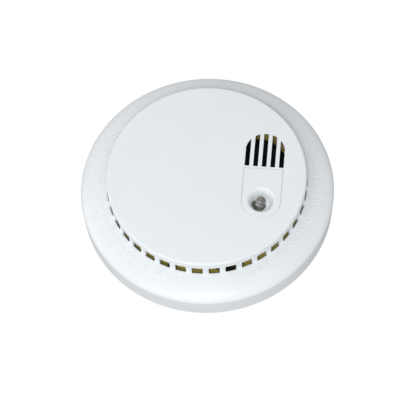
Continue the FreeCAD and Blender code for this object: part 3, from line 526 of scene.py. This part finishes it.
def finishes(looks):
    """Makes every finish once and gives them by name."""
    white = tuple(looks.plastic_white)
    board = tuple(looks.board_colour)
    return {
        "shell": moulded("moulded white shell", white, 0.36),
        "back_shell": moulded("moulded white back", shade(white, 0.97), 0.44, 0.6, 0.02),
        "black": moulded("moulded black", (0.004, 0.0045, 0.005), 0.6, 0.3, 0.02, 0.2, 0.08),
        "steel": sheet_metal("zinc plated steel", (0.62, 0.62, 0.6)),
        "tin": sheet_metal("tin plate", (0.72, 0.71, 0.68), 0.24),
        "brass": sheet_metal("rolled brass", (0.76, 0.57, 0.24), 0.26),
        "bronze": sheet_metal("spring bronze", (0.66, 0.42, 0.23), 0.3),
        "ceramic": resin("fired ceramic", (0.74, 0.72, 0.66), 0.4),
        "foam": foam_finish("soft foam", (0.07, 0.07, 0.075)),
        "red": rubber_wire("red insulation", (0.5, 0.02, 0.015)),
        "black_wire": rubber_wire("black insulation", (0.02, 0.02, 0.02)),
        "board": laminate("bare laminate", board),
        "jacket": jacket("battery jacket", (0.03, 0.032, 0.036), tuple(looks.battery_band)),
        "resin": resin("chip resin", (0.018, 0.018, 0.018)),
        "sleeve": resin("shrink sleeve", (0.02, 0.022, 0.03), 0.3),
        "ochre": resin("dipped coating", (0.6, 0.3, 0.07), 0.4),
        "tan": resin("lacquer", (0.62, 0.46, 0.27), 0.35),
        "clear": clear_resin("water clear resin", (0.97, 0.98, 0.98)),
        "smoked": clear_resin("smoked resin", (0.09, 0.05, 0.1), 0.08),
        "film": film("label film", (0.72, 0.73, 0.74)),
        "screen": woven_wire("woven screen", (0.6, 0.6, 0.6)),
    }


coats = {}

CARRIED = {
    "mounting_bracket": "back_shell", "rear_housing": "back_shell", "battery_door": "back_shell",
    "front_cover": "shell", "test_button": "shell",
    "door_hinge_pin": "steel", "sounder_contacts": "steel", "insect_screen": "screen",
    "cover_screws": "steel", "board_screws": "steel", "door_foam_pad": "foam", "battery": "jacket",
    "battery_terminals": "tin", "status_lamp_leads": "tin", "test_contact_holder": "tin",
    "snap_connector": "black", "horn_housing": "black", "chamber_base": "black", "light_trap": "black",
    "chamber_cap": "black", "battery_lead_red": "red", "battery_lead_black": "black_wire",
    "circuit_board": "board", "sounder_disc": "brass", "test_contact_pad": "brass",
    "sounder_ceramic": "ceramic", "test_contact_leaf": "bronze", "infrared_lamp": "smoked",
    "infrared_receiver": "smoked", "status_lamp": "clear", "control_chip": "resin",
    "driver_chip": "resin", "horn_coil": "resin", "electrolytic_capacitors": "sleeve",
    "ceramic_capacitors": "ochre", "resistors": "tan", "rating_label": "film",
}


# ---- settings -------------------------------------------------------------------------------------------


class AlarmSizes(bpy.types.PropertyGroup):
    rib_height: bpy.props.FloatProperty(
        name="Rib height", description="How far the grip ribs stand out, in mm",
        default=0.3, min=0.0, max=0.8,
    )
    mouth_round: bpy.props.FloatProperty(
        name="Edge round", description="Rounding of slot and window edges, in mm",
        default=0.12, min=0.05, max=0.5,
    )


class AlarmLooks(bpy.types.PropertyGroup):
    plastic_white: bpy.props.FloatVectorProperty(
        name="Plastic", description="Colour of the shell",
        default=(0.815, 0.85, 0.876), subtype="COLOR", min=0, max=1,
    )
    board_colour: bpy.props.FloatVectorProperty(
        name="Board", description="Colour of the bare laminate",
        default=(0.78, 0.66, 0.14), subtype="COLOR", min=0, max=1,
    )
    battery_band: bpy.props.FloatVectorProperty(
        name="Battery band", description="Colour of the band on the battery",
        default=(0.55, 0.27, 0.1), subtype="COLOR", min=0, max=1,
    )
    floor_height: bpy.props.FloatProperty(
        name="Floor height", description="Height of the floor under the alarm",
        default=-0.8, unit="LENGTH",
    )


def sizes():
    return bpy.context.scene.alarm_sizes


def looks():
    return bpy.context.scene.alarm_looks


# ---- pieces ---------------------------------------------------------------------------------------------


class ALARM_OT_finishes(bpy.types.Operator):
    """Makes the finishes and puts them on the frame's own nodes"""
    bl_idname = "alarm.finishes"
    bl_label = "Finishes"

    def execute(self, context):
        coats.update(finishes(looks()))
        for node, coat in CARRIED.items():
            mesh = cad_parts[node].data
            mesh.materials.clear()
            mesh.materials.append(coats[coat])
        return {"FINISHED"}


def tongue_outline(room, lift=0.0):
    """The test button's outline, grown by some room: straight top corners and a round lower end."""
    r = TONGUE_R + room
    low = arc(TONGUE_X, TONGUE_LOW, r, 180, 360, 48)
    top = TONGUE_TOP + room + lift
    return low + [(TONGUE_X + r, top), (TONGUE_X - r, top)]


class ALARM_OT_front_cover(bpy.types.Operator):
    """The front cover: a turned shell with the windows, the horn slots and the button opening"""
    bl_idname = "alarm.front_cover"
    bl_label = "Front cover"

    def execute(self, context):
        inner = DISC_R - SIDE_T
        shell = lathe(
            [(0, FACE_Z)]
            + arc(DISC_R - FACE_ROUND, FACE_Z - FACE_ROUND, FACE_ROUND, 90, 0, 6)
            + [(DISC_R, 24.6), (DISC_R, 18.62), (DISC_R + 0.12, LEDGE_Z + 0.02), (LEDGE_R, LEDGE_Z)]
            + curve((BEND_R, BEND_Z), (62.7, 15.2), (RIM_R - 0.14, BAND_TOP + 0.12), 10)
            + [(RIM_R, BAND_TOP - 0.1), (RIM_R, RIM_BACK + 0.5)]
            + [(RIM_R - 0.15, RIM_BACK + 0.15), (RIM_R - 0.5, RIM_BACK)]
            + [(RIM_R - WALL_T, RIM_BACK), (RIM_R - WALL_T, 12.0), (59.6, 13.9), (50.8, 16.4)]
            + [(inner, 16.5), (inner, FACE_Z - WALL_T), (0, FACE_Z - WALL_T)],
            steps=WINDOWS * 8, closed=False,
        )
        inside, deepest = DISC_R - FACE_ROUND - 0.01, FACE_Z - WALL_T - 0.1
        with editing(shell):
            pick(shell, "faces", lambda at, n: at.xy.length < inside and abs(n.z) > 0.999 and at.z > deepest)
            bpy.ops.mesh.dissolve_limited(angle_limit=math.radians(1))
        pocket, slots = self.grille()
        rebate, opening = self.button_opening()
        combine(shell, pocket, rebate, slots, opening, self.windows(inner))
        soften(shell, sizes().mouth_round, 3)
        settle(shell, "cover_shell", "alarm_head", coats["shell"], ["front_cover"])
        return {"FINISHED"}

    def windows(self, inner):
        """The cutter for the windows, whose sills slope down towards the inside."""
        window = box((-WINDOW_WIDE / 2, -DISC_R + 0.3, WINDOW_LOW), (WINDOW_WIDE / 2, 1 - inner, WINDOW_HIGH))
        with editing(window, "VERT"):
            pick(window, "verts", lambda at, _: at.y > -inner and at.z < WINDOW_LOW + 1)
            bpy.ops.transform.translate(value=(0, 0, -3.8))
        with editing(window):
            pick(window, "faces", lambda at, n: n.y < -0.9)
            extrude((0, -0.9, 0))
            copies_round(WINDOWS)
        return window

    def arch(self, room, high):
        """The grille's arch, grown by some room."""
        left, right, low = SLOT_X - ARCH_R - room, SLOT_X + ARCH_R + room, SLOT_LOW - room
        outline = [(left, low), (right, low)] + arc(SLOT_X, ARCH_Y, ARCH_R + room, 0, 180, 48)
        return prism(outline, FACE_Z - WALL_T - PAST, high)

    def grille(self):
        """The cutters for the grille: a pocket behind it, and the slots."""
        arch = self.arch(0.0, FACE_Z + PAST)
        slots = []
        for k in range(-2, 3):
            slot = twin(arch)
            with editing(slot):
                for side in (-1, 1):
                    sliced((SLOT_X + SLOT_PITCH * k + side * SLOT_WIDE / 2, 0, 0), (side, 0, 0))
            slots.append(slot)
        bpy.data.objects.remove(arch)
        return self.arch(POCKET_ROOM, FACE_Z - GRILLE_T), merged(*slots)

    def button_opening(self):
        """The cutters for the button: a rebate behind the face, and the opening."""
        low = FACE_Z - WALL_T - PAST
        rebate = prism(tongue_outline(GAP + 0.9), low, FACE_Z - 0.5)
        return rebate, prism(tongue_outline(GAP - 0.05), low, FACE_Z + PAST)


class ALARM_OT_test_button(bpy.types.Operator):
    """The test button: a flush tongue with a rounded well that the status lamp looks through"""
    bl_idname = "alarm.test_button"
    bl_label = "Test button"

    def execute(self, context):
        back, about = FACE_Z - WALL_T, (TONGUE_X, TONGUE_LOW)
        tongue = prism(tongue_outline(0.1, 0.2), back, FACE_Z)
        flange = prism(tongue_outline(GAP + 0.45), back, FACE_Z - 0.65)
        with editing(flange):
            sliced((0, HINGE_Y - 1.5, 0), (0, 1, 0))
        well = rod(*about, WELL_BACK, FACE_Z - 0.6, WELL_R + 1, 72)
        left, right, into = TONGUE_X - 8.8, TONGUE_X + 8.8, back + 0.1
        bar = box((left, HINGE_Y - PIN_R, HINGE_Z - PIN_R), (right, HINGE_Y + PIN_R, into))
        low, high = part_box("test_button")
        pin = turned(rod(0, 0, low.x * MM, high.x * MM, PIN_R, 24), 90, "Y")
        moved(pin, y=HINGE_Y, z=HINGE_Z)
        post = rod(POST_X, POST_Y, -high.y * MM, into, POST_R, 24)
        lip = prism(tongue_outline(GAP - 0.15), back, FACE_Z - 0.32)
        combine(tongue, flange, lip, well, bar, pin, post, how="UNION")
        bore = lathe(
            [(0, FACE_Z + 1), (WELL_R + DISH, FACE_Z + 1)]
            + curve((WELL_R + DISH, FACE_Z), (WELL_R, FACE_Z - 0.3), (WELL_R - DISH, FACE_Z - WELL_FALL), 12)
            + [(0, FACE_Z - WELL_FALL)],
            about, 72, closed=False,
        )
        hole = rod(LAMP_X + 0.2, LAMP_Y + 0.1, WELL_BACK - 1, FACE_Z, LAMP_HOLE_R, 48)
        room = rod(LAMP_X, LAMP_Y, WELL_BACK - 1, FACE_Z - WELL_FALL - 0.9, LAMP_HOLE_R + 1, 48)
        combine(tongue, bore, hole, room)
        soften(tongue, 0.22, 3)
        settle(tongue, "button_tongue", "test_button", coats["shell"], ["test_button"])
        return {"FINISHED"}


RIB_HALF, RIB_ROOT, RIB_TAPER = 0.22, 0.6, 0.3

# Each row of ribs: its first and last radius, its lean past the upper ring's, how far it sinks in, how many
# groups go round, and the ribs of one group as a turn in degrees with a start and an end along the row.
RIB_ROWS = (
    (52.7, 55.5, 0.0, 0.0, 44, (
        (0, 0, 1), (1.15, 0, 0.45), (1.15, 0.62, 1), (2.3, 0, 1), (3.6, 0.3, 1), (4.75, 0, 0.7), (5.9, 0, 1),
    )),
    (56.5, 59.3, 4.5, 0.02, 40, (
        (0, 0, 1), (1.2, 0.5, 1), (2.4, 0, 1), (3.6, 0, 0.6), (5.0, 0, 1), (6.2, 0.35, 1), (7.4, 0, 0.4),
    )),
)


class ALARM_OT_ribs(bpy.types.Operator):
    """Two rows of fine raised grip ribs round the sloping ring"""
    bl_idname = "alarm.ribs"
    bl_label = "Grip ribs"

    def execute(self, context):
        rows = [self.row(*row) for row in RIB_ROWS]
        ribs = merged(*rows)
        only(ribs)
        bpy.ops.object.shade_smooth_by_angle(angle=math.radians(30))
        settle(ribs, "cover_ribs", "alarm_head", coats["shell"])
        return {"FINISHED"}

    def row(self, first, last, extra_lean, sink, groups, marks):
        """One row of ribs from a first to a last radius, made as a group that is copied round."""
        slope = (LEDGE_Z - BEND_Z) / (BEND_R - LEDGE_R)
        lean, span, high = math.degrees(math.atan(slope)) + extra_lean, last - first, sizes().rib_height
        bars = []
        for turn, start_at, end_at in marks:
            r0, r1 = first + span * start_at, first + span * end_at
            bar = box((r0, -RIB_HALF, -RIB_ROOT), (r1, RIB_HALF, high))
            taper = ((r1 - r0 - RIB_TAPER) / (r1 - r0), 0.55, 1)
            with editing(bar):
                pick(bar, "faces", lambda at, n: n.z > 0.9)
                bpy.ops.transform.resize(value=taper, center_override=((r0 + r1) / 2, 0, high))
            turned(bar, lean, "Y", (first, 0, 0))
            moved(bar, z=LEDGE_Z - slope * (first - LEDGE_R) - sink)
            bars.append(turned(bar, turn))
        group = merged(*bars)
        with editing(group):
            copies_round(groups)
        return group


class ALARM_OT_status_lamp(bpy.types.Operator):
    """The status lamp: a clear dome with a flange, and the cup and post cast inside it"""
    bl_idname = "alarm.status_lamp"
    bl_label = "Status lamp"

    def execute(self, context):
        base, body, dome = LAMP_Z, 2.5, LAMP_Z + 5.8
        lens = lathe(
            [(0, base), (2.75, base), (2.9, base + 0.15), (2.9, base + 0.9), (2.78, base + 1.05)]
            + [(body, base + 1.1)] + arc(0, dome, body, 0, 90, 12)[:-1] + [(0, dome + body)],
            (LAMP_X, LAMP_Y), 64, closed=False,
        )
        cup = lathe(
            [(0, base + 2.6), (0.55, base + 2.6), (0.95, base + 3.5), (1.05, base + 3.5)]
            + [(1.05, base + 2.2), (0.5, base + 0.3), (0.0, base + 0.3)],
            (LAMP_X - 0.35, LAMP_Y), 32, closed=False,
        )
        post = box((LAMP_X + 0.95, LAMP_Y - 0.25, base + 0.3), (LAMP_X + 1.45, LAMP_Y + 0.25, base + 3.6))
        turn = math.radians(LAMP_TOWARD)
        for piece in (lens, cup, post):
            turned(piece, LAMP_LEAN, Vector((-math.sin(turn), math.cos(turn), 0)), (LAMP_X, LAMP_Y, LAMP_Z))
        soften(lens, 0)
        soften(merged(cup, post), 0.05, 1)
        settle(lens, "lamp_lens", "alarm_head", coats["clear"], ["status_lamp"])
        settle(cup, "lamp_cup", "alarm_head", coats["tin"])
        return {"FINISHED"}


REFINED = (
    # node, rounding in mm, body, slot
    ("mounting_bracket", 0.3, "bracket", "white_plastic"),
    ("rear_housing", 0.22, "alarm_head", "white_plastic"),
    ("battery_door", 0.25, "battery_door", "white_plastic"),
    ("battery", 0.9, "alarm_head", "battery_jacket"),
    ("snap_connector", 0.3, "alarm_head", "black_plastic"),
    ("battery_terminals", 0.12, "alarm_head", "plated_metal"),
    ("horn_housing", 0.4, "alarm_head", "black_plastic"),
    ("chamber_cap", 0.3, "alarm_head", "black_plastic"),
    ("chamber_base", 0.2, "alarm_head", "black_plastic"),
    ("circuit_board", 0.12, "alarm_head", "board"),
    ("control_chip", 0.15, "alarm_head", "black_resin"),
    ("driver_chip", 0.15, "alarm_head", "black_resin"),
    ("electrolytic_capacitors", 0.5, "alarm_head", "black_sleeve"),
    ("ceramic_capacitors", 0.6, "alarm_head", "ochre_coating"),
    ("horn_coil", 0.3, "alarm_head", "black_resin"),
)


class ALARM_OT_horn_painted_shade(bpy.types.Operator):
    """A black disc in the throat of the horn: painted shade, so that the grille slots read dark"""
    bl_idname = "alarm.horn_cloth"
    bl_label = "Horn cloth"

    def execute(self, context):
        # painted shade: a thin black disc across the horn's throat, standing in for the shade seen through
        # the slots
        shade_sheet = rod(HORN_X, HORN_Y, HORN_TOP - 1.2, HORN_TOP - 0.8, THROAT_R, 48)
        soften(shade_sheet, 0.05, 1)
        settle(shade_sheet, "horn_cloth", "alarm_head", coats["black"])
        return {"FINISHED"}


class ALARM_OT_refined(bpy.types.Operator):
    """The pieces whose frame shape is right, with their edges rounded"""
    bl_idname = "alarm.refined"
    bl_label = "Rounded pieces"

    def execute(self, context):
        for node, width, body, slot in REFINED:
            thing = refined(node, width)
            settle(thing, node + "_rounded", body, coats[CARRIED[node]], [node])
        return {"FINISHED"}


CAMERA_AT = (0.0432, -0.57735, -0.2877)
CAMERA_RIGHT = (0.9953, 0.0284, 0.0923)
CAMERA_UP = (-0.0703, -0.4420, 0.8942)
CAMERA_BACK = (0.0662, -0.8965, -0.4380)
WHITE = (1.0, 1.0, 1.0, 1.0)


class ALARM_OT_stage(bpy.types.Operator):
    """The floor, the light and the camera"""
    bl_idname = "alarm.stage"
    bl_label = "Stage"

    def execute(self, context):
        begin()
        bpy.ops.mesh.primitive_plane_add(size=12, location=(0, 0, looks().floor_height))
        floor = bpy.context.object
        floor.name = "floor"
        pale = Finish("pale floor", 0.7)
        pale.wear(Base_Color=pale.mix(pale.noise(400.0, 2.0), (0.88, 0.88, 0.88), (0.92, 0.92, 0.92)))
        floor.data.materials.append(pale.material)
        self.sky()
        self.light("key from below", (-0.2, -0.5, -0.7), 0.5, 1.95)
        self.light("fill from below right", (0.3, -0.4, -0.7), 0.4, 0.85)
        self.light("side", (-0.95, -0.3, 0.0), 0.5, 1.6)
        self.light("beside the camera", (0.02, -0.6, -0.34), 0.12, 1.2)
        self.light("near the face", (-0.16, -0.36, 0.14), 0.22, 0.11)
        camera = bpy.data.objects.new("camera", bpy.data.cameras.new("camera"))
        bpy.context.scene.collection.objects.link(camera)
        turn = Matrix((CAMERA_RIGHT, CAMERA_UP, CAMERA_BACK)).transposed().to_4x4()
        camera.matrix_world = Matrix.Translation(CAMERA_AT) @ turn
        camera.data.lens, camera.data.sensor_width = 109.4, 36.0
        camera.data.clip_start = 0.01
        bpy.context.scene.camera = camera
        return {"FINISHED"}

    def light(self, name, place, size, power):
        lamp = bpy.data.lights.new(name, "AREA")
        lamp.size, lamp.energy = size, power
        thing = bpy.data.objects.new(name, lamp)
        bpy.context.scene.collection.objects.link(thing)
        thing.location = place
        thing.rotation_euler = (-Vector(place)).to_track_quat("-Z", "Y").to_euler()

    def sky(self):
        """A soft even surround, and a plain white backdrop behind the alarm."""
        world = bpy.data.worlds.new("surround")
        bpy.context.scene.world = world
        world.use_nodes = True
        tree = world.node_tree
        surround = tree.nodes["Background"]
        surround.inputs["Color"].default_value = WHITE
        surround.inputs["Strength"].default_value = 0.49
        backdrop = tree.nodes.new("ShaderNodeBackground")
        backdrop.inputs["Strength"].default_value = 1.0
        backdrop.inputs["Color"].default_value = WHITE
        path, blend = tree.nodes.new("ShaderNodeLightPath"), tree.nodes.new("ShaderNodeMixShader")
        tree.links.new(path.outputs["Is Camera Ray"], blend.inputs[0])
        tree.links.new(surround.outputs[0], blend.inputs[1])
        tree.links.new(backdrop.outputs[0], blend.inputs[2])
        tree.links.new(blend.outputs[0], tree.nodes["World Output"].inputs[0])
        bpy.context.scene.view_settings.view_transform = "Standard"


class ALARM_PT_panel(bpy.types.Panel):
    bl_label = "Smoke alarm"
    bl_idname = "ALARM_PT_panel"
    bl_space_type = "VIEW_3D"
    bl_region_type = "UI"
    bl_category = "Smoke alarm"

    def draw(self, context):
        for group in (context.scene.alarm_sizes, context.scene.alarm_looks):
            for key in group.__annotations__:
                self.layout.prop(group, key)
        for step in STEPS:
            self.layout.operator(step.bl_idname)


STEPS = (
    ALARM_OT_finishes, ALARM_OT_front_cover, ALARM_OT_ribs, ALARM_OT_test_button, ALARM_OT_status_lamp,
    ALARM_OT_horn_painted_shade, ALARM_OT_refined, ALARM_OT_stage,
)
CLASSES = (AlarmSizes, AlarmLooks, *STEPS, ALARM_PT_panel)


def register():
    for kind in CLASSES:
        bpy.utils.register_class(kind)
    bpy.types.Scene.alarm_sizes = bpy.props.PointerProperty(type=AlarmSizes)
    bpy.types.Scene.alarm_looks = bpy.props.PointerProperty(type=AlarmLooks)


def unregister():
    del bpy.types.Scene.alarm_sizes, bpy.types.Scene.alarm_looks
    for kind in reversed(CLASSES):
        bpy.utils.unregister_class(kind)


def main():
    register()
    for step in STEPS:
        family, name = step.bl_idname.split(".")
        getattr(getattr(bpy.ops, family), name)()
    begin()


if __name__ == "__main__":
    main()
